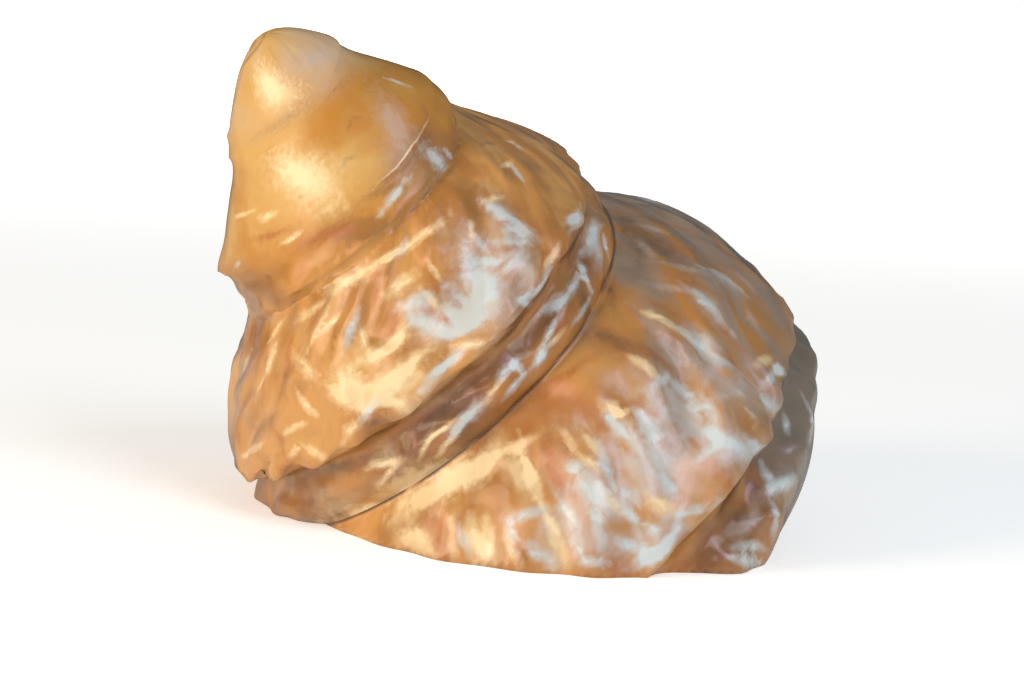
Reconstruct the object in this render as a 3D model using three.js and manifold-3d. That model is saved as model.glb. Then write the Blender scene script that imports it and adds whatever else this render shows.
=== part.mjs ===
// A polished turban shell lying on its mouth, grown in one piece, in millimetres with +Z up.
// The tube of the shell grows along a spiral that widens by the same ratio in every turn. Turn 0 is where the
// keel meets the lip, and earlier turns are negative. Depth is measured down the shell's axis from the point
// that the spiral starts from, and a drop is a depth measured from the keel of the same turn.
import * as THREE from "three";
import { mergeVertices } from "three/addons/utils/BufferGeometryUtils.js";
import Module from "manifold-3d";

// Growth, as the natural logarithm of the ratio from one turn to the next.
const RADIUS_GROWTH = 0.3751;
const DEPTH_GROWTH = 0.3977;
const FIRST_TURN = -2.55;
const LAST_TURN = 0.4;

// The tube's outline at turn 0.
const KEEL_RADIUS = 52.1;
const KEEL_DEPTH = 114.4;
const SUTURE_RADIUS = 33.5;
const SUTURE_DROP = -27.0;
const UPPER_FACE_BULGE = 3.3;
const CHANNEL_RADIUS = 47.9;
const CHANNEL_DROP = 3.6;
const CORD_RADIUS = 51.0;
const CORD_DROP = 9.4;
const BASE_RADIUS = 43.0;
const BASE_DROP = 15.2;
const COLUMELLA_RADIUS = 2.0;
const OVERLAP = 3.5;

// The worn top, a rounded point that the early turns are polished down to.
const TOP_DEPTH = 28.8;
const TOP_ROUNDING = 10.6;
const TOP_FLARE = 0.346;
const WEAR_BLEND = 1.9;
const TOP_LENGTH = 18;
const CORE_DEPTH = 130;

// Folds across the turns, with knobs where they cross the keel and the cord.
const FOLDS_PER_TURN = 23;
const STEEP_FOLD_SLANT = 0.05;
const OPEN_FOLD_SLANT = 0.2;
const FOLD_HEIGHT = 1.2;
const KNOB_HEIGHT = 1.8;
const BEAD_HEIGHT = 1.5;
const FOLDS_START = -2.0;
const FOLDS_FULL = -1.2;

// Where the shell stands out of its regular spiral or has been ground further down, as the turn, the place
// across it, half the width each way and the height. Across the turn, 0 is the upper edge, 1 the keel, 2 the
// channel, 3 the cord and 4 the lower edge.
const UNEVEN = [
  [-2.69, 1.7, 0.05, 0.6, 0.5],
  [-2.24, 0.4, 0.12, 0.45, -1.4],
  [-2.23, 3.4, 0.16, 0.9, -1.4],
  [-1.71, 3.1, 0.1, 0.6, -1.9],
  [-1.7, 0.12, 0.08, 0.42, -0.9],
  [-1.695, 1.0, 0.03, 0.18, 1.4],
  [-1.25, 0.3, 0.13, 0.45, -1.9],
  [-1.2, 1.1, 0.05, 0.4, -0.8],
  [-1.23, 3.0, 0.14, 0.8, -1.3],
  [-0.76, 3.7, 0.06, 0.5, -1.0],
  [-0.76, 2.2, 0.05, 1.2, 0.5],
  [-0.72, 0.95, 0.04, 0.3, 0.3],
  [-0.67, 0.15, 0.07, 0.25, -1.3],
  [-0.2, 0.93, 0.035, 0.3, -1.1],
  [-0.185, 2.9, 0.04, 0.5, 0.9],
  [-0.11, 3.8, 0.1, 0.5, -1.9],
  [-0.06, 3.95, 0.035, 0.4, -1.3],
  [-0.015, 2.2, 0.05, 1.0, 1.7],
  [0.09, 0.45, 0.04, 0.4, 0.9],
];

// The hollow at turn 0, as radius and drop, going round from the top of the tube.
const HOLLOW = [
  [26.0, -23.4], [32.7, -20.4], [41.0, -10.8], [44.8, -1.8], [44.5, 5.6], [40.5, 10.4],
  [27.0, 11.8], [15.0, 10.8], [10.0, 2.5], [9.6, -11.5], [15.0, -21.2],
];
const INNER_LIP_START = 0.19;
const INNER_LIP_END = 0.45;
const HOLLOW_FIRST_TURN = -1.0;
const MOUTH_START = 0.08;
const HOLLOW_LAST_TURN = 0.26;

// How the shell lies, in degrees: the turn of turn 0 about the axis, then the axis's lean back and sideways.
const SPIN = 285.04;
const LEAN_BACK = 13.3;
const LEAN_LEFT = -33.43;
const START_HEIGHT = 96.94;

// Steps along the spiral and points round an outline.
const STEPS_PER_FOLD = 3;
const SMOOTH_STEPS_PER_TURN = 42;
const FACE_POINTS = 5;
const SIDE_POINTS = 10;
const HOLLOW_STEPS_PER_TURN = 48;
const STEPS_IN_A_LENGTH = 16;
const HOLLOW_POINTS = 18;
const LATHE_SEGMENTS = 42;
const SLIVER = 0.02;

const wasm = await Module();
wasm.setup();

function growth(turn) {
  return Math.exp(RADIUS_GROWTH * turn);
}

function keelDepth(turn) {
  return KEEL_DEPTH * Math.exp(DEPTH_GROWTH * turn);
}

// Where the next turn's upper edge meets this turn, as radius and depth.
function suture(turn) {
  return new THREE.Vector2(SUTURE_RADIUS * growth(turn), keelDepth(turn) + SUTURE_DROP * growth(turn));
}

// The outline's upper face from the suture to the keel, gently convex.
function upperFace(turn) {
  const scale = growth(turn);
  const start = suture(turn);
  const end = new THREE.Vector2(KEEL_RADIUS * scale, keelDepth(turn));
  const outward = new THREE.Vector2(end.y - start.y, start.x - end.x).normalize();
  const points = [];
  for (let i = 0; i <= FACE_POINTS; i += 1) {
    const along = i / FACE_POINTS;
    const bulge = UPPER_FACE_BULGE * scale * 4 * along * (1 - along) * (0.8 + 0.4 * along);
    const point = start.clone().lerp(end, along).addScaledVector(outward, bulge);
    points.push({ point, across: along, height: foldHeight(along) });
  }
  return points;
}

// The outline below the keel: the channel, the cord, the lower edge and the base up to the axis.
function underside(turn) {
  const scale = growth(turn);
  const keel = keelDepth(turn);
  const curve = new THREE.SplineCurve([
    new THREE.Vector2(KEEL_RADIUS * scale, keel),
    new THREE.Vector2(CHANNEL_RADIUS * scale, keel + CHANNEL_DROP * scale),
    new THREE.Vector2(CORD_RADIUS * scale, keel + CORD_DROP * scale),
    suture(turn + 1),
    new THREE.Vector2(BASE_RADIUS * scale, keel + BASE_DROP * scale),
    new THREE.Vector2(COLUMELLA_RADIUS * scale, keel + (BASE_DROP + 0.6) * scale),
  ]);
  const points = [];
  for (let i = 1; i <= SIDE_POINTS; i += 1) {
    const along = i / SIDE_POINTS;
    const cordward = Math.exp(-(((along - 0.4) / 0.11) ** 2));
    points.push({ point: curve.getPoint(along), across: 1 + 5 * along, height: BEAD_HEIGHT * cordward });
  }
  return points;
}

// How far a fold rises, from nothing at the suture to a knob at the keel.
function foldHeight(along) {
  const face = THREE.MathUtils.smoothstep(along, 0.05, 0.5);
  const knob = THREE.MathUtils.smoothstep(along, 0.7, 1);
  return THREE.MathUtils.lerp(FOLD_HEIGHT * face, KNOB_HEIGHT, knob);
}

// The folds' wave, from -0.5 to 0.5, which fades away on the worn early turns. Towards the lip the folds
// run more steeply.
function wave(turn, across) {
  const lipward = THREE.MathUtils.smoothstep(turn, -0.25, 0);
  const slant = THREE.MathUtils.lerp(OPEN_FOLD_SLANT, STEEP_FOLD_SLANT, lipward);
  const phase = FOLDS_PER_TURN * (turn - slant * Math.min(across, 1));
  return 0.5 * Math.cos(2 * Math.PI * phase) * THREE.MathUtils.smoothstep(turn, FOLDS_START, FOLDS_FULL);
}

// How far the shell stands out of its regular spiral. A place near an edge counts on both turns that meet there.
function uneven(turn, across) {
  let rise = 0;
  for (const [atTurn, atAcross, halfTurn, halfAcross, height] of UNEVEN) {
    for (const next of [-1, 0, 1]) {
      const turnsOff = (turn + next - atTurn) / halfTurn;
      const acrossOff = (across - 4 * next - atAcross) / halfAcross;
      rise += height * Math.exp(-(turnsOff ** 2) - acrossOff ** 2);
    }
  }
  return rise;
}

// The radius of the worn top at a depth.
function topRadius(depth) {
  const below = Math.max(depth - TOP_DEPTH, 0);
  return Math.sqrt(TOP_ROUNDING * below + TOP_FLARE * below * below);
}

// The radius that wear leaves: the outline's own, blended into the worn top where that is smaller.
function wornRadius(radius, depth) {
  const limit = topRadius(depth);
  return Math.max(limit - WEAR_BLEND * Math.log(1 + Math.exp((limit - radius) / WEAR_BLEND)), 0.02);
}

function onSpiral(turn, radius, depth) {
  const angle = -2 * Math.PI * turn;
  return new THREE.Vector3(radius * Math.cos(angle), radius * Math.sin(angle), -depth);
}

// One closed outline of the tube, with its inner edge inside the turn before. Past the lip it draws up
// against the turn before, as the thick inner lip does.
function outline(turn) {
  const ending = THREE.MathUtils.smoothstep(turn, INNER_LIP_START, INNER_LIP_END);
  const scale = growth(turn);
  const edge = suture(turn);
  const places = [
    { point: new THREE.Vector2(COLUMELLA_RADIUS * scale, edge.y - OVERLAP * scale), across: 0, height: 0 },
    { point: new THREE.Vector2(edge.x - 1.4 * OVERLAP * scale, edge.y - OVERLAP * scale), across: 0, height: 0 },
    ...upperFace(turn),
    ...underside(turn),
  ];
  return places.map(({ point, across, height }) => {
    const inward = across > 4 ? Math.min((1.6 * point.x) / (BASE_RADIUS * scale), 1.6) : 1;
    const folded = point.x + height * scale * wave(turn, across);
    const radius = wornRadius(folded, point.y) + uneven(turn, Math.min(across, 4)) * inward;
    const place = new THREE.Vector2(Math.max(radius, 0.02), Math.max(point.y, TOP_DEPTH));
    place.lerp(new THREE.Vector2(0.6 * place.x, edge.y - 0.7 * OVERLAP * scale), ending);
    return onSpiral(turn, place.x, place.y);
  });
}

// One closed outline of the hollow, drawn in towards its middle at the closed end and towards the outer lip
// where the mouth ends.
function hollowOutline(turn) {
  const scale = growth(turn);
  const fromEnd = (turn - HOLLOW_FIRST_TURN) / 0.12;
  const size = Math.sqrt(1 - (1 - THREE.MathUtils.clamp(fromEnd, 0.12, 1)) ** 2);
  const ending = THREE.MathUtils.smoothstep(turn, MOUTH_START, HOLLOW_LAST_TURN);
  const corners = HOLLOW.map(([radius, drop]) => new THREE.Vector3(radius, drop, 0));
  const middle = corners.reduce((sum, corner) => sum.add(corner), new THREE.Vector3()).divideScalar(corners.length);
  const curve = new THREE.CatmullRomCurve3(corners, true);
  return curve.getPoints(HOLLOW_POINTS).slice(0, HOLLOW_POINTS).map((point) => {
    const place = middle.clone().lerp(point, size).lerp(corners[3], 0.8 * ending).multiplyScalar(scale);
    return onSpiral(turn, place.x, keelDepth(turn) + place.y);
  });
}

function turnsBetween(first, last, stepsPerTurn) {
  const count = Math.round((last - first) * stepsPerTurn);
  return Array.from({ length: count + 1 }, (_, i) => first + ((last - first) * i) / count);
}

// A closed solid that joins outline to outline, with a flat cap at each end.
function sweep(outlines) {
  const size = outlines[0].length;
  const positions = outlines.flat().flatMap((point) => point.toArray());
  const faces = [];
  for (let ring = 0; ring + 1 < outlines.length; ring += 1) {
    for (let i = 0; i < size; i += 1) {
      const a = ring * size + i;
      const b = ring * size + ((i + 1) % size);
      faces.push(a, b, b + size, a, b + size, a + size);
    }
  }
  const lastRing = (outlines.length - 1) * size;
  for (const [i, j, k] of capFaces(outlines[0])) {
    faces.push(i, k, j);
  }
  for (const [i, j, k] of capFaces(outlines.at(-1))) {
    faces.push(lastRing + i, lastRing + j, lastRing + k);
  }
  return solid(positions, faces);
}

// Triangles that fill an outline, which lies in a plane through the axis.
function capFaces(points) {
  const flat = points.map((point) => new THREE.Vector2(Math.hypot(point.x, point.y), point.z));
  const clockwise = THREE.ShapeUtils.isClockWise(flat);
  return THREE.ShapeUtils.triangulateShape(flat, []).map(([i, j, k]) => (clockwise ? [i, k, j] : [i, j, k]));
}

function solid(positions, faces) {
  const mesh = new wasm.Mesh({
    numProp: 3,
    vertProperties: Float32Array.from(positions),
    triVerts: Uint32Array.from(faces),
  });
  const made = new wasm.Manifold(mesh);
  if (made.volume() > 0) {
    return made;
  }
  const turned = [];
  for (let i = 0; i < faces.length; i += 3) {
    turned.push(faces[i], faces[i + 2], faces[i + 1]);
  }
  mesh.triVerts = Uint32Array.from(turned);
  return new wasm.Manifold(mesh);
}

// A tube swept along the spiral in lengths of under half a turn, none of which meets itself. Each length
// starts a step back, inside the one before, and they are joined.
function tube(outlineAt, turns) {
  let joined = null;
  for (let start = 0; start + 1 < turns.length; start += STEPS_IN_A_LENGTH) {
    const part = sweep(turns.slice(Math.max(start - 1, 0), start + STEPS_IN_A_LENGTH + 1).map(outlineAt));
    joined = joined ? joined.add(part) : part;
  }
  return joined;
}

// The worn top, a round solid that closes the first turn, with the middle of the columella below it.
function topAndCore() {
  const profile = [];
  for (let i = 0; i <= 12; i += 1) {
    const depth = TOP_DEPTH + TOP_LENGTH * (i / 12) ** 1.6;
    profile.push(new THREE.Vector2(topRadius(depth) - 1.6 * ((depth - TOP_DEPTH) / TOP_LENGTH) ** 2, -depth));
  }
  profile.push(new THREE.Vector2(1.3, -TOP_DEPTH - TOP_LENGTH - 3));
  profile.push(new THREE.Vector2(3.4, -CORE_DEPTH));
  profile.push(new THREE.Vector2(0, -CORE_DEPTH));
  const lathe = new THREE.LatheGeometry(profile, LATHE_SEGMENTS).rotateX(Math.PI / 2);
  lathe.deleteAttribute("normal");
  lathe.deleteAttribute("uv");
  const merged = mergeVertices(lathe, 1e-4);
  const faces = [];
  for (let i = 0; i < merged.index.count; i += 3) {
    const corners = [merged.index.getX(i), merged.index.getX(i + 1), merged.index.getX(i + 2)];
    if (new Set(corners).size === 3) {
      faces.push(...corners);
    }
  }
  return solid(merged.attributes.position.array, faces);
}

// Turns a solid from the shell's own axis to how it lies on its mouth.
function lay(shape) {
  const lie = new THREE.Matrix4()
    .makeTranslation(0, 0, START_HEIGHT)
    .multiply(new THREE.Matrix4().makeRotationY(THREE.MathUtils.degToRad(LEAN_LEFT)))
    .multiply(new THREE.Matrix4().makeRotationX(THREE.MathUtils.degToRad(LEAN_BACK)))
    .multiply(new THREE.Matrix4().makeRotationZ(THREE.MathUtils.degToRad(SPIN)));
  return shape.transform(lie.elements);
}

// Takes out the slivers that joining leaves where two lengths of tube meet.
function withoutSlivers(shape) {
  const bySize = shape.decompose().sort((first, second) => second.volume() - first.volume());
  return bySize[0].asOriginal().simplify(SLIVER);
}

function buildShell() {
  const wornTurns = turnsBetween(FIRST_TURN, FOLDS_START, SMOOTH_STEPS_PER_TURN);
  const foldedTurns = turnsBetween(FOLDS_START, LAST_TURN, FOLDS_PER_TURN * STEPS_PER_FOLD);
  const outside = tube(outline, [...wornTurns, ...foldedTurns.slice(1)]);
  const hollow = tube(hollowOutline, turnsBetween(HOLLOW_FIRST_TURN, HOLLOW_LAST_TURN, HOLLOW_STEPS_PER_TURN));
  const whole = outside.add(topAndCore()).subtract(hollow);
  const cut = withoutSlivers(lay(whole).trimByPlane([0, 0, 1], 0));
  const box = cut.boundingBox();
  return cut.translate([-(box.min[0] + box.max[0]) / 2, -(box.min[1] + box.max[1]) / 2, 0]);
}

function toGeometry(shape) {
  const mesh = shape.getMesh();
  const geometry = new THREE.BufferGeometry();
  geometry.setAttribute("position", new THREE.BufferAttribute(mesh.vertProperties, 3));
  geometry.setIndex(new THREE.BufferAttribute(mesh.triVerts, 1));
  geometry.computeVertexNormals();
  return geometry;
}

const nacre = new THREE.MeshStandardMaterial({ color: 0xd9a569, roughness: 0.25, metalness: 0 });
const shell = new THREE.Mesh(toGeometry(buildShell()), nacre);
shell.name = "shell";

const object = new THREE.Group();
object.add(shell);

export default object;
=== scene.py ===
# A polished turban shell lying on its mouth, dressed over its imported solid, in metres.
import functools
import math
import random

import bmesh
import bpy
import numpy as np
from mathutils import Matrix, Vector, noise
from mathutils.bvhtree import BVHTree
from mathutils.interpolate import poly_3d_calc


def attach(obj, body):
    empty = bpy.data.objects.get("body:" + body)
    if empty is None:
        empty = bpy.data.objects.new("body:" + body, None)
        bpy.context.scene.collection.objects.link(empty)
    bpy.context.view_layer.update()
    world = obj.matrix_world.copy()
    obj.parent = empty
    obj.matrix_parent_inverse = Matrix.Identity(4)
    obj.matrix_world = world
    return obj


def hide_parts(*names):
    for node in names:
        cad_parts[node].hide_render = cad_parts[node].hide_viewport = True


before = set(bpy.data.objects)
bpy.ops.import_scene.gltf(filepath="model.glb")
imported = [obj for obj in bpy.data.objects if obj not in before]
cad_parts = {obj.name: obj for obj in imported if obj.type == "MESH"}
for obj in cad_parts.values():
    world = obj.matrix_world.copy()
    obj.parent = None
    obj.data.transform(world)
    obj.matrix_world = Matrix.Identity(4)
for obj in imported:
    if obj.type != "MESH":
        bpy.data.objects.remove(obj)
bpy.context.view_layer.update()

# The shell: one piece, grown as a tube that winds down a spiral and widens by the same ratio every turn,
# then ground and polished down to its mother of pearl. It is drawn as it grew: one section line is extruded
# step by step along the spiral, and the line's ends are welded to the turn before at the suture.
RADIUS_GROWTH = 0.3751
DEPTH_GROWTH = 0.3977
FIRST_TURN = -3.6
LIP_TURN = 0.26
STEPS_PER_TURN = 207
FACE_STEPS = 30
LOWER_STEPS = 33
BASE_STEPS = 24
PILLAR_STEPS = 16
HOLLOW_STEPS = 44
WELD_DISTANCE = 0.00003
LEAST_RADIUS = 0.00002
RIM_HEIGHT = 0.00002

KEEL_RADIUS = 0.0521
KEEL_DEPTH = 0.1144
SUTURE_RADIUS = 0.0335
SUTURE_DROP = -0.0270
UPPER_FACE_BULGE = 0.0033
CHANNEL_RADIUS = 0.0479
CHANNEL_DROP = 0.0036
CORD_RADIUS = 0.0510
CORD_DROP = 0.0094
BASE_RADIUS = 0.0430
BASE_DROP = 0.0152
PILLAR_RADIUS = 0.0035
PILLAR_DROP = 0.0006
PILLAR_DEPTH = 0.160
INNER_LIP_START = -0.75
INNER_LIP_END = -0.52

TOP_DEPTH = 0.0288
TOP_ROUNDING = 0.0106
TOP_FLARE = 0.346
WEAR_BLEND = 0.0019

FOLDS_PER_TURN = 23
FOLD_HEIGHT = 0.0012
KNOB_HEIGHT = 0.0018
BEAD_HEIGHT = 0.0015
LUMP_HEIGHT = 0.0013

# The sutures of the worn early turns are softened between these turns, from one mark of the outline above
# the suture to another below it.
SOFT_FIRST_TURN = -3.2
SOFT_LAST_TURN = -1.62
SOFT_ABOVE_SUTURE = 3.3
SOFT_BELOW_SUTURE = 0.3
SOFTENING_ROUNDS = 120

# Laid out flat, a turn is this wide and its lower suture lies this far down, in widths of its upper face.
TURN_WIDTH = 7.6
TURN_DOWN = 1.6
INSIDE_DOWN = 8.0

# Where the shell stands out of its regular spiral or is ground further down: turn, across, half the width
# along the turn, half the width across it, and height.
UNEVEN = (
    (-2.69, 1.7, 0.05, 0.6, 0.0005),
    (-2.24, 0.4, 0.12, 0.45, -0.0014),
    (-2.23, 3.4, 0.16, 0.9, -0.0014),
    (-1.71, 3.1, 0.1, 0.6, -0.0019),
    (-1.7, 0.12, 0.08, 0.42, -0.0009),
    (-1.695, 1.0, 0.03, 0.18, 0.0014),
    (-1.25, 0.3, 0.13, 0.45, -0.0019),
    (-1.2, 1.1, 0.05, 0.4, -0.0008),
    (-1.23, 3.0, 0.14, 0.8, -0.0013),
    (-0.76, 3.7, 0.06, 0.5, -0.0010),
    (-0.76, 2.2, 0.05, 1.2, 0.0005),
    (-0.72, 0.95, 0.04, 0.3, 0.0003),
    (-0.67, 0.15, 0.07, 0.25, -0.0013),
    (-0.2, 0.93, 0.035, 0.3, -0.0011),
    (-0.185, 2.9, 0.04, 0.5, 0.0009),
    (-0.11, 3.8, 0.1, 0.5, -0.0019),
    (-0.06, 3.95, 0.035, 0.4, -0.0013),
    (-0.015, 2.2, 0.05, 1.0, 0.0017),
    (0.09, 0.45, 0.04, 0.4, 0.0009),
)

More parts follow.
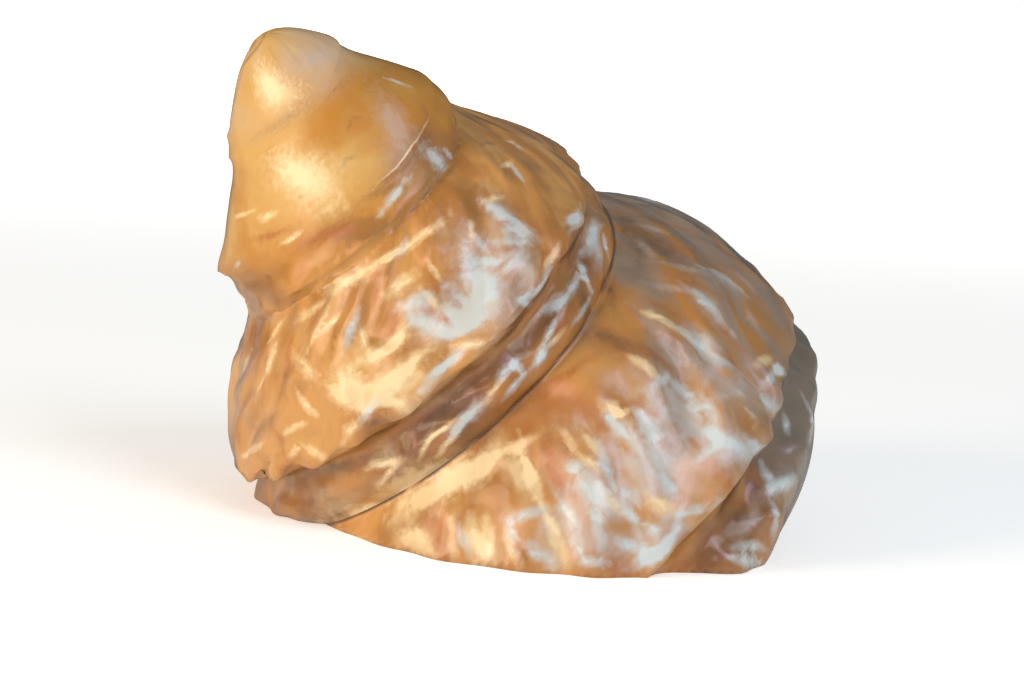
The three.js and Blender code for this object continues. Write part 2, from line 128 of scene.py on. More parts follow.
# Marks on the side that the photo shows, as strokes: from one pixel to another, and how many pixels wide.
# They are laid on the shell from where the photo was taken. The rusty, pinkish and knob-core strokes are
# the nacre's own colour; the broad pale and warm white strokes are painted highlights of the warm light;
# the soft and bluish-white strokes are pearly nacre with painted reflections of the cool light; the dark
# strokes are painted shadow, and the thinnest of them dark lines that the shell has.
MARKS = {
    "haze_and_reflection": (
        (600, 440, 672, 480, 56), (572, 480, 622, 505, 44), (650, 392, 720, 440, 46),
        (695, 365, 765, 400, 36), (545, 520, 610, 545, 40), (640, 545, 680, 530, 34),
        (468, 255, 498, 320, 46), (500, 215, 525, 270, 30), (412, 305, 440, 320, 30),
        (700, 295, 720, 320, 20), (715, 275, 735, 290, 18), (730, 445, 752, 452, 26),
        (690, 335, 720, 350, 20), (590, 235, 600, 260, 18), (775, 490, 790, 480, 22),
    ),
    "broad_highlight": (
        (420, 480, 470, 500, 36), (345, 350, 410, 395, 46), (335, 278, 385, 262, 30),
        (262, 380, 276, 340, 18), (300, 440, 318, 452, 22), (370, 500, 480, 480, 50),
        (400, 530, 425, 545, 30), (505, 450, 530, 500, 24), (545, 520, 562, 560, 22),
        (470, 530, 490, 555, 26), (415, 350, 440, 340, 18), (370, 440, 395, 462, 14),
        (280, 165, 330, 185, 50), (262, 80, 290, 95, 36),
    ),
    "shadow_and_dark_line": (
        (625, 225, 680, 262, 34), (590, 330, 640, 350, 24), (330, 232, 385, 226, 22),
        (345, 80, 300, 108, 16), (300, 108, 262, 134, 14), (370, 195, 395, 187, 16),
        (350, 232, 378, 224, 18), (310, 470, 400, 452, 18), (400, 440, 470, 398, 22),
        (455, 400, 515, 352, 22), (515, 352, 560, 312, 18), (360, 424, 385, 422, 9),
        (622, 215, 640, 262, 22), (606, 280, 612, 300, 12), (700, 238, 742, 262, 10),
        (640, 205, 690, 222, 12), (748, 262, 775, 300, 10), (604, 270, 602, 300, 3),
        (600, 306, 590, 318, 4), (432, 146, 444, 167, 3), (445, 178, 457, 162, 2),
        (566, 505, 578, 545, 5), (506, 525, 520, 560, 4), (347, 131, 352, 119, 2),
        (352, 119, 362, 116, 2), (340, 170, 346, 160, 2), (346, 160, 356, 155, 2),
        (258, 62, 261, 67, 4), (258, 299, 262, 307, 4), (264, 276, 269, 277, 3),
        (346, 245, 348, 247, 2), (483, 145, 492, 143, 2), (735, 520, 750, 500, 14),
        (770, 430, 775, 520, 14),
    ),
    "rust": (
        (535, 395, 610, 412, 46), (350, 225, 300, 245, 24), (560, 250, 548, 280, 22),
        (451, 118, 451, 150, 13), (428, 118, 424, 108, 7), (424, 130, 396, 170, 9),
        (398, 165, 382, 182, 8), (250, 240, 290, 229, 8), (262, 400, 268, 350, 7),
        (283, 392, 292, 335, 8), (330, 360, 336, 320, 7), (272, 420, 284, 458, 8),
        (392, 318, 399, 350, 10), (400, 352, 445, 338, 12), (565, 235, 568, 262, 16),
        (548, 262, 538, 290, 9), (280, 466, 300, 468, 12), (300, 458, 372, 446, 10),
        (345, 455, 440, 405, 8), (410, 402, 470, 378, 8), (500, 332, 540, 306, 9),
        (550, 340, 575, 300, 11), (595, 262, 601, 300, 9), (625, 213, 700, 234, 8),
        (655, 243, 700, 252, 8), (668, 275, 718, 295, 9), (645, 300, 672, 312, 9),
        (630, 345, 680, 372, 8), (700, 302, 735, 345, 9), (690, 250, 745, 275, 7),
        (720, 478, 738, 500, 15), (745, 458, 757, 474, 12), (742, 418, 752, 436, 11),
        (682, 538, 702, 524, 8), (600, 567, 640, 571, 14), (660, 571, 700, 562, 9),
        (545, 440, 553, 480, 14), (556, 470, 562, 500, 8), (440, 520, 446, 558, 9),
        (455, 528, 470, 508, 5), (545, 250, 548, 272, 12), (610, 470, 616, 480, 12),
        (525, 400, 600, 350, 10), (600, 430, 640, 400, 14), (405, 540, 440, 562, 10),
    ),
    "cream_highlight": (
        (262, 80, 285, 92, 30), (285, 165, 320, 185, 34), (262, 218, 272, 214, 8),
        (235, 217, 250, 212, 4), (283, 243, 299, 234, 2), (426, 124, 380, 182, 2),
        (330, 288, 378, 264, 16), (300, 318, 322, 303, 9), (392, 290, 410, 278, 14),
        (240, 378, 250, 355, 7), (263, 380, 276, 345, 8), (270, 340, 282, 322, 5),
        (310, 345, 326, 312, 6), (322, 332, 342, 312, 6), (362, 328, 366, 346, 8),
        (342, 378, 362, 396, 24), (360, 362, 400, 340, 15), (388, 352, 404, 328, 11),
        (330, 388, 346, 402, 12), (398, 372, 424, 352, 11), (372, 388, 412, 374, 18),
        (360, 408, 382, 398, 13), (385, 402, 404, 404, 11), (300, 396, 312, 412, 7),
        (286, 432, 302, 424, 6), (304, 446, 322, 456, 6), (291, 456, 297, 449, 7),
        (244, 456, 259, 445, 4), (346, 436, 356, 424, 10), (298, 358, 312, 376, 13),
        (428, 262, 437, 276, 4), (424, 292, 436, 306, 6), (471, 226, 472, 240, 7),
        (485, 201, 500, 198, 4), (500, 119, 506, 119, 3), (507, 141, 513, 142, 3),
        (504, 166, 511, 163, 4), (455, 347, 486, 341, 6), (546, 266, 556, 250, 3),
        (371, 466, 396, 461, 8), (380, 484, 396, 464, 4), (422, 454, 430, 438, 4),
        (430, 438, 452, 424, 5), (440, 452, 456, 434, 4), (486, 401, 501, 380, 5),
        (549, 346, 560, 334, 4), (340, 518, 400, 502, 24), (400, 505, 442, 490, 30),
        (440, 480, 482, 468, 30), (480, 468, 494, 452, 20), (505, 452, 530, 438, 12),
        (522, 448, 530, 482, 12), (526, 466, 546, 510, 10), (546, 512, 566, 562, 9),
        (412, 524, 428, 550, 14), (451, 530, 455, 556, 5), (470, 520, 482, 560, 13),
        (486, 520, 490, 552, 12), (505, 530, 516, 560, 6), (564, 435, 577, 452, 7),
        (584, 434, 596, 450, 5), (576, 452, 595, 468, 9), (604, 404, 620, 415, 12),
        (614, 414, 626, 412, 9), (600, 490, 620, 512, 13), (655, 500, 671, 510, 11),
        (645, 312, 678, 330, 4), (635, 360, 658, 377, 4), (760, 362, 766, 360, 5),
        (380, 262, 400, 250, 10), (440, 222, 400, 250, 10),
    ),
    "pearl_and_reflection": (
        (488, 205, 504, 216, 15), (502, 215, 520, 230, 12), (514, 226, 530, 234, 13),
        (495, 240, 528, 243, 4), (474, 234, 486, 250, 7), (470, 262, 482, 290, 22),
        (488, 262, 503, 262, 12), (505, 272, 521, 254, 5), (490, 285, 474, 308, 20),
        (450, 292, 470, 312, 15), (445, 314, 470, 322, 16), (404, 306, 425, 298, 12),
        (410, 318, 440, 330, 14), (440, 336, 470, 326, 13), (345, 345, 356, 315, 9),
        (365, 416, 373, 404, 7), (425, 386, 446, 364, 10), (445, 366, 463, 350, 10),
        (520, 300, 540, 288, 5), (540, 288, 552, 264, 4), (517, 298, 530, 305, 5),
        (566, 222, 576, 215, 7), (570, 232, 579, 211, 4), (514, 144, 522, 149, 4),
        (512, 166, 522, 178, 7), (388, 79, 404, 84, 6), (236, 266, 240, 263, 4),
        (428, 152, 442, 166, 16), (445, 150, 452, 158, 6), (405, 182, 386, 206, 8),
        (456, 428, 482, 404, 13), (450, 441, 461, 420, 6), (500, 376, 515, 362, 8),
        (514, 362, 523, 373, 6), (505, 396, 521, 378, 3), (534, 366, 546, 350, 9),
        (540, 350, 556, 320, 4), (548, 310, 561, 300, 11), (563, 302, 580, 274, 8),
        (579, 263, 585, 276, 7), (585, 276, 590, 290, 4), (578, 318, 589, 300, 4),
        (585, 250, 596, 222, 14), (603, 236, 607, 252, 4), (460, 531, 467, 548, 9),
        (512, 520, 540, 512, 12), (509, 528, 516, 548, 4), (528, 548, 552, 562, 13),
        (562, 500, 575, 530, 4), (575, 530, 580, 554, 6), (578, 478, 602, 502, 20),
        (570, 468, 580, 466, 9), (594, 508, 600, 540, 9), (600, 450, 612, 482, 4),
        (612, 424, 632, 442, 11), (605, 416, 613, 426, 7), (632, 408, 652, 440, 4),
        (640, 412, 661, 432, 3), (650, 440, 666, 472, 12), (660, 478, 673, 492, 11),
        (620, 480, 636, 500, 7), (625, 500, 638, 532, 4), (655, 386, 665, 375, 7),
        (667, 375, 690, 400, 6), (688, 395, 697, 416, 8), (700, 396, 716, 426, 4),
        (700, 430, 722, 440, 9), (698, 458, 722, 440, 6), (724, 442, 752, 454, 13),
        (749, 440, 758, 451, 5), (638, 562, 662, 554, 15), (655, 556, 675, 536, 9),
        (672, 536, 681, 514, 5), (680, 513, 716, 505, 6), (620, 540, 646, 552, 8),
        (584, 560, 602, 565, 7), (650, 520, 656, 538, 7), (762, 386, 776, 370, 8),
        (774, 366, 783, 374, 4), (763, 400, 771, 408, 11), (680, 330, 701, 346, 10),
        (700, 350, 722, 362, 7), (690, 290, 720, 318, 10), (705, 268, 738, 288, 7),
        (807, 404, 812, 432, 4), (785, 420, 787, 431, 4), (765, 470, 771, 482, 5),
        (770, 488, 792, 482, 12), (772, 504, 775, 530, 3), (736, 546, 762, 548, 4),
        (730, 558, 760, 565, 4),
    ),
    "pink": (
        (300, 62, 330, 52, 26), (386, 104, 402, 150, 34), (480, 236, 530, 270, 10),
        (420, 300, 438, 312, 14), (652, 396, 672, 432, 15), (680, 428, 692, 452, 11),
        (624, 440, 642, 472, 14), (640, 460, 660, 486, 18), (640, 492, 658, 490, 8),
        (704, 386, 712, 370, 6), (714, 362, 736, 368, 5), (738, 370, 742, 386, 5),
        (706, 400, 736, 395, 12), (600, 546, 622, 536, 8), (745, 308, 760, 332, 9),
        (738, 274, 752, 288, 8), (636, 240, 650, 252, 14), (640, 225, 665, 232, 10),
        (660, 262, 700, 272, 9), (650, 325, 670, 345, 12), (655, 285, 690, 292, 8),
        (760, 505, 745, 530, 14),
    ),
    "core": (
        (431, 270, 437, 290, 5), (440, 315, 448, 323, 6), (455, 300, 458, 306, 5),
        (497, 268, 508, 262, 7), (502, 250, 514, 248, 7), (500, 224, 509, 222, 7),
        (424, 312, 436, 310, 7), (450, 272, 462, 270, 8), (299, 364, 306, 371, 7),
        (345, 348, 353, 358, 8), (371, 474, 383, 470, 7), (430, 450, 450, 430, 8),
        (490, 400, 511, 378, 8), (580, 310, 572, 296, 6), (576, 441, 589, 456, 7),
        (722, 372, 731, 376, 11), (765, 386, 775, 393, 9), (660, 392, 666, 400, 8),
        (668, 425, 678, 430, 9), (690, 440, 700, 448, 10), (620, 443, 630, 452, 8),
        (622, 478, 630, 490, 10), (610, 528, 632, 528, 16), (640, 508, 650, 520, 7),
        (700, 520, 720, 470, 12), (545, 490, 549, 506, 6), (497, 492, 500, 540, 9),
        (510, 480, 516, 512, 7), (515, 540, 522, 552, 8),
    ),
}
# How wide the upper face is in the photo where the turn count is 0, in pixels.
FACE_PIXELS = 224
LEAST_MARK_WIDTH = 0.04
MARK_FADE = 1.1
# The same kinds of mark on the other sides: how many to a turn, their mean length and width, and the range
# of how far down they lie.
OTHER_MARKS = {
    "haze_and_reflection": (14, 0.3, 0.2, 0.2, 1.2),
    "broad_highlight": (12, 0.3, 0.2, 0.15, 1.0),
    "shadow_and_dark_line": (16, 0.30, 0.05, 1.05, 1.5),
    "rust": (40, 0.32, 0.06, 0.1, 1.55),
    "cream_highlight": (34, 0.20, 0.07, 0.1, 1.35),
    "pearl_and_reflection": (46, 0.22, 0.07, 0.15, 1.5),
    "pink": (14, 0.18, 0.10, 0.2, 1.0),
    "core": (24, 0.10, 0.05, 0.2, 1.4),
}
# The turns that the photo doesn't show, as first and last.
HIDDEN_TURNS = ((-0.66, -0.24), (-1.65, -1.3), (-2.62, -2.3))

# The hollow of the tube where the turn count is 0, in millimetres from the axis and below the keel.
HOLLOW_LOOP = (
    (26, -23.4), (32.7, -20.4), (41, -10.8), (44.8, -1.8), (44.5, 5.6), (40.5, 10.4),
    (27, 11.8), (15, 10.8), (10, 2.5), (9.6, -11.5), (15, -21.2),
)
HOLLOW_FIRST_TURN = -1.0
HOLLOW_LAST_TURN = 0.26

APEX = Vector((-0.05646, -0.02073, 0.09694))
SPIN = math.radians(285.04)
LEAN_BACK = math.radians(13.3)
LEAN_LEFT = math.radians(-33.43)
LIE = (
    Matrix.Translation(APEX)
    @ Matrix.Rotation(LEAN_LEFT, 4, "Y")
    @ Matrix.Rotation(LEAN_BACK, 4, "X")
    @ Matrix.Rotation(SPIN, 4, "Z")
)

# Where the photo was taken from and which way it looks: half a metre off and a little above level.
EYE = APEX + Vector((0.05157, -0.53528, 0.01452))
VIEW = (
    Matrix.Rotation(math.radians(-0.41), 3, "Z")
    @ Matrix.Rotation(math.radians(90 - 8.642), 3, "X")
    @ Matrix.Rotation(math.radians(3.307), 3, "Z")
)
PHOTO_MIDDLE = (512, 341)
VIEW_LENGTH = 3600


def growth(turn):
    return math.exp(RADIUS_GROWTH * turn)


def keel_depth(turn):
    return KEEL_DEPTH * math.exp(DEPTH_GROWTH * turn)


def suture(turn):
    return Vector((SUTURE_RADIUS * growth(turn), keel_depth(turn) + SUTURE_DROP * growth(turn)))


def smooth(low, high, value):
    share = min(max((value - low) / (high - low), 0.0), 1.0)
    return share * share * (3 - 2 * share)


def through(points, along):
    """A point on the smooth curve through the points, where along counts them from 0."""
    first = min(max(int(along), 0), len(points) - 2)
    share = along - first
    before = points[first - 1] if first > 0 else 2 * points[0] - points[1]
    start, end = points[first], points[first + 1]
    after = points[first + 2] if first + 2 < len(points) else 2 * points[-1] - points[-2]
    return 0.5 * (
        2 * start
        + (end - before) * share
        + (2 * before - 5 * start + 4 * end - after) * share**2
        + (3 * start - before - 3 * end + after) * share**3
    )


@functools.lru_cache
def corners(turn):
    """The corners of the outline at a turn: suture, keel, channel, cord, lower edge, base and pillar."""
    scale = growth(turn)
    keel = keel_depth(turn)
    return [
        suture(turn),
        Vector((KEEL_RADIUS * scale, keel)),
        Vector((CHANNEL_RADIUS * scale, keel + CHANNEL_DROP * scale)),
        Vector((CORD_RADIUS * scale, keel + CORD_DROP * scale)),
        suture(turn + 1),
        Vector((BASE_RADIUS * scale, keel + BASE_DROP * scale)),
        Vector((PILLAR_RADIUS, keel + (BASE_DROP + PILLAR_DROP) * scale)),
    ]


def section(turn, across):
    """Radius and depth at a mark: 0 suture, 1 keel, 2 channel, 3 cord, 4 lower edge, 5 base, 6 pillar."""
    if across < 1:
        start, keel = corners(turn)[:2]
        outward = Vector((keel.y - start.y, start.x - keel.x)).normalized()
        bulge = UPPER_FACE_BULGE * growth(turn) * 4 * across * (1 - across) * (0.8 + 0.4 * across)
        return start.lerp(keel, across) + outward * bulge
    return through(corners(turn)[1:], across - 1)


def worn(radius, depth):
    """The radius left after the point of the spire is ground and rounded off."""
    below = max(depth - TOP_DEPTH, 0.0)
    limit = math.sqrt(TOP_ROUNDING * below + TOP_FLARE * below * below)
    if limit - radius > 12 * WEAR_BLEND:
        return radius
    return max(limit - WEAR_BLEND * math.log(1 + math.exp((limit - radius) / WEAR_BLEND)), LEAST_RADIUS)


def uneven(turn, across):
    """How far the shell stands out of its regular spiral. A place near a suture counts on both turns."""
    rise = 0.0
    for at_turn, at_across, half_turn, half_across, height in UNEVEN:
        for after in (-1, 0, 1):
            along = (turn + after - at_turn) / half_turn
            aside = (across - 4 * after - at_across) / half_across
            off = along**2 + aside**2
            if off < 12:
                rise += height * math.exp(-off)
    return rise


def fold_slant(turn):
    return 0.05 + 0.15 * smooth(0.0, -0.25, turn) - 0.05 * smooth(-0.55, -0.85, turn)


def relief(turn, across):
    """How far the surface stands out of its smooth outline: folds, knobs on the keel, beads on the cord."""
    age = smooth(-2.1, -1.2, turn)
    reach = min(across, 1.0)
    jitter = 0.9 * noise.noise((turn * 7.0, across * 0.6, 3.0))
    jitter += 0.35 * noise.noise((turn * 20.0, across * 1.5, 7.0))
    phase = FOLDS_PER_TURN * (turn - fold_slant(turn) * reach) + jitter
    strength = max(0.75 + 1.5 * noise.noise((turn * 12.0, across * 1.1, 11.0)), 0.0)
    strength *= 1 - 0.75 * smooth(-0.08, -0.14, turn) * smooth(-0.4, -0.3, turn)
    wave = 0.5 * math.cos(2 * math.pi * phase) * strength
    face = smooth(0.03, 0.45, across) * (1 - smooth(1.0, 1.6, across))
    knob = math.exp(-(((across - 1.0) / 0.2) ** 2))
    bead = math.exp(-(((across - 3.0) / 0.5) ** 2)) * (1 - smooth(3.6, 4.0, across))
    down = min(across, 1.0) + 0.2 * max(across - 1.0, 0.0)
    lumps = noise.noise((turn * 19.0, down * 2.2, 23.0))
    lumps += 0.5 * noise.noise((turn * 44.0, down * 4.5, 29.0))
    free = smooth(0.0, 0.25, across) * (1 - smooth(3.7, 4.0, across))
    height = age * (FOLD_HEIGHT * face * wave + (KNOB_HEIGHT - FOLD_HEIGHT) * knob * wave)
    height += age * BEAD_HEIGHT * bead * wave
    return height + LUMP_HEIGHT * (0.35 + 0.65 * age) * free * lumps


def lay(turn, radius, depth):
    """A point of the lying shell, from its turn about the axis, distance from it and depth down it."""
    angle = -2 * math.pi * turn
    return LIE @ Vector((radius * math.cos(angle), radius * math.sin(angle), -depth))


def place(turn, across):
    here = section(turn, across)
    ahead = section(turn, across + 0.02)
    along = (ahead - here).normalized()
    point = here + Vector((along.y, -along.x)) * relief(turn, across) * growth(turn)
    radius = max(worn(point.x, point.y) + uneven(turn, across), LEAST_RADIUS)
    return lay(turn, radius, max(point.y, TOP_DEPTH))


def place_base(turn, across):
    """The base, drawn down to the floor at its start, where the inner lip of the mouth covers it."""
    here = section(turn, min(across, 6.0))
    lip = 1 - smooth(INNER_LIP_START, INNER_LIP_END, turn)
    depth = here.y + (keel_depth(turn + 1) - here.y) * lip * smooth(4.0, 4.6, across)
    depth += (PILLAR_DEPTH - depth) * max(across - 6.0, 0.0)
    rise = uneven(turn, 4.0) * (1 - smooth(4.0, 6.0, across))
    return lay(turn, worn(here.x, here.y) + rise, depth)


def place_hollow(turn, across):
    """The inside of the tube, which closes to a point far in and runs out through the mouth."""
    scale = growth(turn)
    loop = [Vector(corner) for corner in HOLLOW_LOOP]
    middle = sum(loop, Vector((0, 0))) / len(loop)
    ring = loop[-1:] + loop + loop[:2]
    here = through(ring, across - 9)
    open_end = smooth(HOLLOW_FIRST_TURN - 0.001, HOLLOW_FIRST_TURN + 0.25, turn) ** 0.5
    here = middle + (here - middle) * max(open_end, 0.001)
    out = smooth(0.08, HOLLOW_LAST_TURN, turn)
    here = here.lerp(loop[3], 0.8 * out)
    return lay(turn, here.x * scale * 0.001, keel_depth(turn) + here.y * scale * 0.001)


def grow(bm, marks, first, last, put):
    """Extrudes a section line along the spiral. Each new vertex goes where put says."""
    turn_layer = bm.verts.layers.float["turn"]
    mark_layer = bm.verts.layers.float["across"]
    line = []
    for mark in marks:
        vert = bm.verts.new(put(first, mark))
        vert[turn_layer] = first
        vert[mark_layer] = mark
        line.append(vert)
    edges = [bm.edges.new(pair) for pair in zip(line, line[1:])]
    for step in range(1, round((last - first) * STEPS_PER_TURN) + 1):
        turn = first + step / STEPS_PER_TURN
        grown = bmesh.ops.extrude_edge_only(bm, edges=edges)["geom"]
        for vert in grown:
            if isinstance(vert, bmesh.types.BMVert):
                vert[turn_layer] = turn
                vert.co = put(turn, vert[mark_layer])
        edges = [edge for edge in grown if isinstance(edge, bmesh.types.BMEdge)]


def spread(first, last, count):
    return [first + (last - first) * i / count for i in range(count + 1)]


def unrolled(across):
    """How far down the surface a mark is, in widths of the upper face. The hollow's marks are past 10."""
    lengths = (0.0, 1.0, 1.2, 1.4, TURN_DOWN, 1.85, 3.05, 7.0)
    if across > 7:
        return across
    low = min(int(across), 6)
    return lengths[low] + (lengths[low + 1] - lengths[low]) * (across - low)


def other_marks(kind, chance):
    """Marks of a kind, strewn over the turns that the photo doesn't show."""
    count, length, width, high, low = OTHER_MARKS[kind]
    strewn = []
    for first, last in HIDDEN_TURNS:
        for _ in range(round(count * (last - first))):
            turn = chance.uniform(first, last)
            down = chance.uniform(high, low)
            slant = chance.uniform(0.05, 0.2) if down < 1 else chance.uniform(2.0, 6.0)
            reach = length * chance.uniform(0.4, 1.3) / math.hypot(1, TURN_WIDTH * slant)
            start = Vector((TURN_WIDTH * turn, down))
            end = start + Vector((TURN_WIDTH * slant, 1)) * reach
            strewn.append((start, end, width * chance.uniform(0.5, 1.6)))
    return strewn


def seen_at(shell_tree, bm, x, y):
    """Where a pixel of the photo looks at the shell, laid out flat."""
    ray = VIEW @ Vector((x - PHOTO_MIDDLE[0], PHOTO_MIDDLE[1] - y, -VIEW_LENGTH))
    point, _, face_number, _ = shell_tree.ray_cast(EYE, ray)
    if point is None:
        return None
    growth_map = bm.loops.layers.uv["growth"]
    loops = bm.faces[face_number].loops
    shares = poly_3d_calc([loop.vert.co for loop in loops], point)
    return sum((share * loop[growth_map].uv for share, loop in zip(shares, loops)), Vector((0, 0)))


def photo_marks(kind, bm):
    """The strokes of a kind, laid out flat. One that runs off the shell, or stretches over an edge of it,
    is left out."""
    shell_tree = BVHTree.FromBMesh(bm)
    laid = []
    for from_x, from_y, to_x, to_y, pixels in MARKS[kind]:
        start, end = seen_at(shell_tree, bm, from_x, from_y), seen_at(shell_tree, bm, to_x, to_y)
        if start is None or end is None:
            continue
        turns_apart = round((end.x - start.x) / TURN_WIDTH)
        end = end + turns_apart * Vector((-TURN_WIDTH, TURN_DOWN))
        unit = FACE_PIXELS * growth(start.x / TURN_WIDTH)
        longest = 4 * math.hypot(to_x - from_x, to_y - from_y) / unit + 0.05
        if (end - start).length < longest:
            laid.append((start, end, max(pixels / unit, LEAST_MARK_WIDTH)))
    return laid


def add_marks(mesh, kind, marks):
    """Gives every face corner its place in the nearest mark, whose own edge is at a distance of 1."""
    places = np.empty(2 * len(mesh.loops))
    mesh.uv_layers["growth"].data.foreach_get("uv", places)
    places = places.reshape(-1, 2)
    corners_of = np.empty(len(mesh.polygons), dtype=np.int32)
    mesh.polygons.foreach_get("loop_total", corners_of)
    face_of = np.repeat(np.arange(len(corners_of)), corners_of)
    centres = np.stack([np.bincount(face_of, places[:, i]) / corners_of for i in (0, 1)], axis=1)
    nearest = np.full(len(corners_of), 99.0)
    found = np.full((len(places), 3), 9.0)
    found[:, 2] = 0.0
    for start, end, width in marks:
        start, end = np.array(start), np.array(end)
        length = np.linalg.norm(end - start)
        along = (end - start) / length
        turned = np.array(((along[0], -along[1]), (along[1], along[0])))
        size = np.array(((length + width) / 2, width / 2))
        from_middle = (centres - (start + end) / 2) @ turned / size
        distance = np.linalg.norm(from_middle, axis=1)
        closer = distance < nearest
        nearest[closer] = distance[closer]
        of_mark = closer[face_of]
        at_corners = (places - (start + end) / 2) @ turned / size
        found[of_mark, :2] = at_corners[of_mark]
        found[:, 2] += np.exp(-MARK_FADE * (at_corners**2).sum(axis=1))
    mesh.attributes.new(kind, "FLOAT_VECTOR", "CORNER").data.foreach_set("vector", found.ravel())


shell_mesh = bpy.data.meshes.new("shell_nacre")
shell = bpy.data.objects.new("shell_nacre", shell_mesh)
bpy.context.scene.collection.objects.link(shell)

bm = bmesh.new()
turn_layer = bm.verts.layers.float.new("turn")
mark_layer = bm.verts.layers.float.new("across")
growth_map = bm.loops.layers.uv.new("growth")
base_first = FIRST_TURN + round((INNER_LIP_START - FIRST_TURN) * STEPS_PER_TURN) / STEPS_PER_TURN
outer_marks = spread(0.0, 1.0, FACE_STEPS) + spread(1.0, 4.0, LOWER_STEPS)[1:]
base_marks = spread(4.0, 6.0, BASE_STEPS) + spread(6.0, 7.0, PILLAR_STEPS)[1:]
hollow_marks = spread(10.0, 21.0, HOLLOW_STEPS)
grow(bm, outer_marks, FIRST_TURN, LIP_TURN, place)
grow(bm, base_marks, base_first, base_first + 1, place_base)
grow(bm, hollow_marks, HOLLOW_FIRST_TURN, HOLLOW_LAST_TURN, place_hollow)
for face in bm.faces:
    face.smooth = True
    for loop in face.loops:
        loop[growth_map].uv = (TURN_WIDTH * loop.vert[turn_layer], unrolled(loop.vert[mark_layer]))
bmesh.ops.remove_doubles(bm, verts=bm.verts, dist=WELD_DISTANCE)
hollows = [
    vert for vert in bm.verts
    if SOFT_FIRST_TURN < vert[turn_layer] < SOFT_LAST_TURN
    and (vert[mark_layer] < SOFT_BELOW_SUTURE or SOFT_ABOVE_SUTURE < vert[mark_layer] <= 4.0)
]
for _ in range(SOFTENING_ROUNDS):
    bmesh.ops.smooth_vert(bm, verts=hollows, factor=0.5, use_axis_x=True, use_axis_y=True, use_axis_z=True)
bmesh.ops.bisect_plane(
    bm,
    geom=bm.verts[:] + bm.edges[:] + bm.faces[:],
    plane_co=(0, 0, RIM_HEIGHT),
    plane_no=(0, 0, -1),
    clear_outer=True,
)
rim = [edge for edge in bm.edges if edge.is_boundary]
filled = bmesh.ops.triangle_fill(bm, edges=rim, use_beauty=True, normal=(0, 0, -1))["geom"]
bmesh.ops.recalc_face_normals(bm, faces=bm.faces)
for face in filled:
    if isinstance(face, bmesh.types.BMFace):
        at_rim = face.calc_center_median().z < 0.001
        face.smooth = not at_rim
        for loop in face.loops:
            loop[growth_map].uv = (0.0, INSIDE_DOWN) if at_rim else (TURN_WIDTH * FIRST_TURN, 0.5)
bm.faces.ensure_lookup_table()
chance = random.Random(5)
marks_of = {kind: photo_marks(kind, bm) + other_marks(kind, chance) for kind in MARKS}
bm.to_mesh(shell_mesh)
bm.free()
for kind, marks in marks_of.items():
    add_marks(shell_mesh, kind, marks)


class Value:
    """A socket's value, so that shader maths reads as an expression."""

    def __init__(self, socket):
        self.socket = socket
        self.tree = socket.id_data

    def node(self, kind, settings=None, **inputs):
        """A new node. Its inputs go by their label, or by i0, i1 and so on for their number."""
        made = self.tree.nodes.new(kind)
        for name, setting in (settings or {}).items():
            setattr(made, name, setting)
        for name, value in inputs.items():
            key = int(name[1:]) if name[0] == "i" and name[1:].isdigit() else name.replace("_", " ")
            if isinstance(value, Value):
                self.tree.links.new(value.socket, made.inputs[key])
            else:
                made.inputs[key].default_value = value
        return made

    def maths(self, operation, first, second=0.0):
        return Value(self.node("ShaderNodeMath", {"operation": operation}, i0=first, i1=second).outputs[0])

    def __add__(self, other):
        return self.maths("ADD", self, other)

    def __sub__(self, other):
        return self.maths("SUBTRACT", self, other)

    def __rsub__(self, other):
        return self.maths("SUBTRACT", other, self)

    def __mul__(self, other):
        return self.maths("MULTIPLY", self, other)

    __radd__ = __add__
    __rmul__ = __mul__

    def step(self, low, high):
        smooth_step = {"interpolation_type": "SMOOTHSTEP"}
        made = self.node("ShaderNodeMapRange", smooth_step, Value=self, From_Min=low, From_Max=high)
        return Value(made.outputs[0])

    def noise(self, scale, detail=3.0, roughness=0.55, distortion=0.0):
        made = self.node(
            "ShaderNodeTexNoise",
            Vector=self,
            Scale=scale,
            Detail=detail,
            Roughness=roughness,
            Distortion=distortion,
        )
        return Value(made.outputs["Fac"])

    def vectors(self, operation, first, second):
        """Vector maths. SCALE takes a number second."""
        inputs = {"i0": first, "Scale" if operation == "SCALE" else "i1": second}
        return Value(self.node("ShaderNodeVectorMath", {"operation": operation}, **inputs).outputs[0])

    def vector(self, x, y, z=0.0):
        return Value(self.node("ShaderNodeCombineXYZ", i0=x, i1=y, i2=z).outputs[0])


def blend(below, share, above):
    """The colour below with the colour above laid over it by the share."""
    made = share.node("ShaderNodeMix", {"data_type": "RGBA"}, i0=share)
    for key, colour in ((6, below), (7, above)):
        if isinstance(colour, Value):
            share.tree.links.new(colour.socket, made.inputs[key])
        else:
            made.inputs[key].default_value = (*colour, 1)
    return Value(made.outputs[2])


nacre = bpy.data.materials.new("nacre")
nacre.use_nodes = True
tree = nacre.node_tree
surface = tree.nodes["Principled BSDF"]

# Places laid out flat, about one size whichever way: as they are, and drawn out along the folds.
laid_out = Value(tree.nodes.new("ShaderNodeUVMap").outputs[0])
laid_out.socket.node.uv_map = "growth"
solid = Value(tree.nodes.new("ShaderNodeTexCoord").outputs["Object"])
parts = laid_out.node("ShaderNodeSeparateXYZ", i0=laid_out)
turn = Value(parts.outputs[0]) * (1 / TURN_WIDTH)
down = Value(parts.outputs[1])
outside = down.step(9.0, 8.5)
face = down.step(1.02, 0.9)
slanted = turn - down * (turn.step(0.0, -0.22) * turn.step(-0.6, -0.35) * 0.13 + 0.07)
wander = solid.noise(75.0, 2.0) - 0.5
drawn = laid_out.vector(slanted * TURN_WIDTH + wander * 0.3, down * 0.6 + wander * 0.2)
tatters = laid_out.node("ShaderNodeTexNoise", Vector=laid_out, Scale=14.0, Detail=4.0)
ragged = laid_out.vectors("SUBTRACT", Value(tatters.outputs["Color"]), (0.5, 0.5, 0.5))
grain = laid_out.noise(14.0, 3.0, 0.6) - 0.5


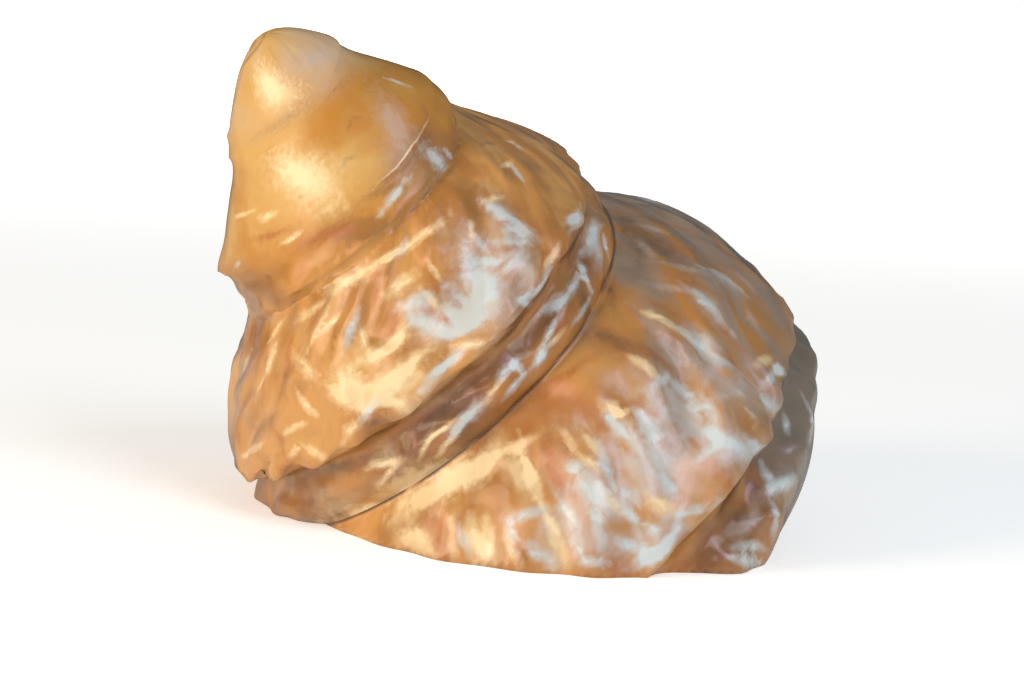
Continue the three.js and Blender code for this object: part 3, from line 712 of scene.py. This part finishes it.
def mark(kind, soft=0.5, rough=2.6):
    """1 inside the marks of a kind and 0 outside, with soft, ragged edges. Close marks run together."""
    own = Value(laid_out.node("ShaderNodeAttribute", {"attribute_name": kind}).outputs["Vector"])
    level = Value(own.node("ShaderNodeSeparateXYZ", i0=own).outputs[2])
    bent = own.vectors("ADD", own, ragged.vectors("SCALE", ragged, rough))
    bent = own.vectors("MULTIPLY", bent, (1, 1, 0))
    single = Value(bent.node("ShaderNodeVectorMath", {"operation": "LENGTH"}, i0=bent).outputs["Value"])
    single = single.step(1 + soft, 1 - soft)
    joined = (level + grain * 1.1).step(0.25, 0.95)
    return single.maths("MAXIMUM", single * 0.6, joined)


honey = (0.40, 0.165, 0.042)
amber = (0.60, 0.29, 0.085)
gold = (0.52, 0.22, 0.035)
tan = (0.63, 0.36, 0.11)
blush = (0.64, 0.44, 0.28)
cream_highlight = (0.93, 0.71, 0.41)
pearl_and_reflection = (0.60, 0.65, 0.65)
pink = (0.55, 0.45, 0.42)
shade_brown = (0.20, 0.095, 0.05)
taupe_shade = (0.28, 0.21, 0.165)
rust = (0.40, 0.125, 0.03)
olive_shade = (0.19, 0.165, 0.135)
shadow_and_line_brown = (0.11, 0.055, 0.035)
suture_shade = (0.07, 0.028, 0.012)

# The ground: honey and amber drawn out along the folds, and paler on the worn early turns.
streaks = drawn.noise(3.2, 3.0, 0.5, 0.5)
clouds = solid.noise(55.0, 3.0, 0.55)
colour = blend(honey, (streaks * 0.6 + clouds * 0.4).step(0.42, 0.58), amber)
older = turn + down * (1 / TURN_DOWN)
early = older.step(-0.95, -1.35)
worn_ground = blend(gold, solid.noise(70.0, 3.0).step(0.34, 0.60), tan)
worn_ground = blend(worn_ground, older.step(-1.85, -2.3) * clouds.step(0.38, 0.56) * 0.8, blush)
colour = blend(colour, early, worn_ground)
# Painted shade: browner below the keel of the middle turns.
shade_below_keel = down.step(0.8, 1.1) * outside * turn.step(-2.45, -2.2) * turn.step(-1.3, -1.6)
colour = blend(colour, shade_below_keel * 0.75, blend(shade_brown, clouds.step(0.3, 0.6), gold))

# Painted shade: browner under the keel, and on the side that grew last, which faces away from the warm
# light.
shaded_last_side = turn.step(0.02, -0.16) * turn.step(-0.62, -0.5) * face
colour = blend(colour, shaded_last_side * 0.85, blend(taupe_shade, streaks.step(0.46, 0.60), honey))
# Painted shade under the keel of the later turns.
shade_under_keel = down.step(0.93, 1.12) * outside
colour = blend(colour, shade_under_keel * turn.step(-1.7, -1.2) * 0.75, blend(shade_brown, clouds.step(0.40, 0.60), honey))
# Painted shade: olive low on the right of the last turn, below the keel.
shaded_right_margin = down.step(0.75, 1.2) * outside * turn.step(-0.03, -0.12) * turn.step(-0.5, -0.3)
colour = blend(colour, shaded_right_margin * 0.85, olive_shade)
colour = blend(colour, (1 - outside) * 0.8, blend(tan, clouds.step(0.4, 0.6), pearl_and_reflection))

# The marks, laid over one another in this order. Some are the nacre's own colour and some are painted
# light.
# Painted highlight: broad pale patches where the warm light falls.
colour = blend(colour, mark("broad_highlight", 0.9, 1.6) * 0.6, blend(cream_highlight, clouds.step(0.42, 0.62), tan))
# Pearly haze, partly a painted reflection of the cool light.
colour = blend(colour, mark("haze_and_reflection", 0.9, 1.6) * 0.55, blend(pearl_and_reflection, clouds.step(0.45, 0.6), pink))
# Painted shadow in the hollows and below the keels, and thin dark lines that the shell has.
colour = blend(colour, mark("shadow_and_dark_line", 0.8) * (0.55 - early * 0.3), shadow_and_line_brown)
colour = blend(colour, mark("rust", 0.8) * 0.65, rust)
colour = blend(colour, mark("pink", 0.8) * 0.5, pink)
# Painted highlights of the warm light, drawn along the lumps.
colour = blend(colour, mark("cream_highlight", 0.7) * (streaks * 0.8 + 0.45), cream_highlight)
# Pearly nacre with painted reflections of the cool light.
colour = blend(colour, mark("pearl_and_reflection", 0.7) * (clouds * 0.8 + 0.45), pearl_and_reflection)
colour = blend(colour, mark("core", 0.6) * 0.7, blend(rust, clouds.step(0.4, 0.6), gold))

# Painted shade: a thin dark line in the groove of the suture on the part that grew last.
line = (down + wander * 0.02).step(0.018, 0.004) * turn.step(-0.3, -0.22)
colour = blend(colour, line * solid.noise(120.0, 2.0).step(0.35, 0.5) * 0.8, suture_shade)

# Relief too fine to model: lumps drawn out along the folds, growth lines and grain.
FOLD_RELIEF = 0.0036
GROWTH_LINE_RELIEF = 0.000005
GRAIN_RELIEF = 0.00003
lumps = drawn.noise(2.6, 0.0) + laid_out.noise(4.2, 0.0, 0.4, 0.4) * 0.5
growth_lines = laid_out.vector(slanted * 260.0, down * 3.0, 9.0).noise(1.0, 2.0, 0.5)
grown = older.step(-1.3, -0.8) * 0.95 + 0.05
height = lumps * grown * FOLD_RELIEF + growth_lines * GROWTH_LINE_RELIEF
height = height + solid.noise(200.0, 2.0) * GRAIN_RELIEF
bump = height.node("ShaderNodeBump", Height=height, Distance=1.0, Strength=1.0)
tree.links.new(bump.outputs[0], surface.inputs["Normal"])
tree.links.new(colour.socket, surface.inputs["Base Color"])
edge_on = Value(laid_out.node("ShaderNodeLayerWeight", Blend=0.5).outputs["Facing"])
edge_on = edge_on * edge_on * edge_on
gloss = solid.noise(90.0, 2.0).step(0.3, 0.7) * 0.1 + 0.25 + early * 0.14 + edge_on * 0.35
tree.links.new(gloss.socket, surface.inputs["Roughness"])
surface.inputs["IOR"].default_value = 1.38
surface.inputs["Specular IOR Level"].default_value = 0.3
coat = (0.4 - early * 0.36) * (1 - edge_on)
tree.links.new(coat.socket, surface.inputs["Coat Weight"])
surface.inputs["Coat Roughness"].default_value = 0.14
surface.inputs["Coat IOR"].default_value = 1.45
surface.inputs["Thin Film Thickness"].default_value = 420.0
surface.inputs["Thin Film IOR"].default_value = 1.33
shell_mesh.materials.append(nacre)
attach(shell, "root")
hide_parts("shell")

# The floor: a plain pale sheet of paper that the shell lies on. It glows a little, so that it stays white
# in the soft light.
FLOOR_HALF_WIDTH = 30.0
PAPER_GLOW = 0.42
floor_mesh = bpy.data.meshes.new("floor")
floor = bpy.data.objects.new("floor", floor_mesh)
bpy.context.scene.collection.objects.link(floor)
bm = bmesh.new()
bmesh.ops.create_grid(bm, x_segments=1, y_segments=1, size=FLOOR_HALF_WIDTH)
bm.to_mesh(floor_mesh)
bm.free()
paper = bpy.data.materials.new("paper")
paper.use_nodes = True
sheet = paper.node_tree.nodes["Principled BSDF"]
sheet.inputs["Base Color"].default_value = (0.9, 0.9, 0.9, 1)
sheet.inputs["Roughness"].default_value = 0.9
sheet.inputs["Emission Color"].default_value = (1, 1, 1, 1)
sheet.inputs["Emission Strength"].default_value = PAPER_GLOW
floor_mesh.materials.append(paper)

# The camera, where the photo was taken from and with the same reach.
SENSOR_WIDTH = 36
camera_data = bpy.data.cameras.new("camera")
camera = bpy.data.objects.new("camera", camera_data)
camera.location = EYE
camera.rotation_euler = VIEW.to_euler()
camera_data.sensor_width = SENSOR_WIDTH
camera_data.lens = SENSOR_WIDTH * VIEW_LENGTH / (2 * PHOTO_MIDDLE[0])
bpy.context.scene.collection.objects.link(camera)
bpy.context.scene.camera = camera


# The light: a warm window on the left, a cooler one on the right, a white one that lights the floor behind
# the shell, and a soft white room.
def window(name, place, aim, size, watts, colour, spread_angle=180):
    data = bpy.data.lights.new(name, "AREA")
    data.shape = "RECTANGLE"
    data.size, data.size_y = size
    data.energy = watts
    data.color = colour
    data.spread = math.radians(spread_angle)
    lamp = bpy.data.objects.new(name, data)
    lamp.location = place
    lamp.rotation_euler = (Vector(aim) - Vector(place)).to_track_quat("-Z", "Y").to_euler()
    bpy.context.scene.collection.objects.link(lamp)


middle = (0, 0, 0.04)
behind = (0.0, 1.1, 0.0)
window(
    "warm_window",
    place=(-0.62, -0.36, 0.24),
    aim=middle,
    size=(0.3, 0.42),
    watts=3.4,
    colour=(1.0, 0.84, 0.58),
)
window(
    "cool_window",
    place=(0.3, -0.5, 0.5),
    aim=middle,
    size=(0.3, 0.35),
    watts=2.4,
    colour=(0.80, 0.92, 1.0),
)
window(
    "back_window",
    place=(0.0, 1.1, 0.8),
    aim=behind,
    size=(1.8, 1.0),
    watts=9.0,
    colour=(1.0, 1.0, 1.0),
    spread_angle=70,
)

room = bpy.data.worlds.new("room")
room.use_nodes = True
sky = room.node_tree.nodes["Background"]
sky.inputs["Color"].default_value = (1, 1, 1, 1)
sky.inputs["Strength"].default_value = 0.30
bpy.context.scene.world = room
bpy.context.scene.view_settings.view_transform = "Standard"
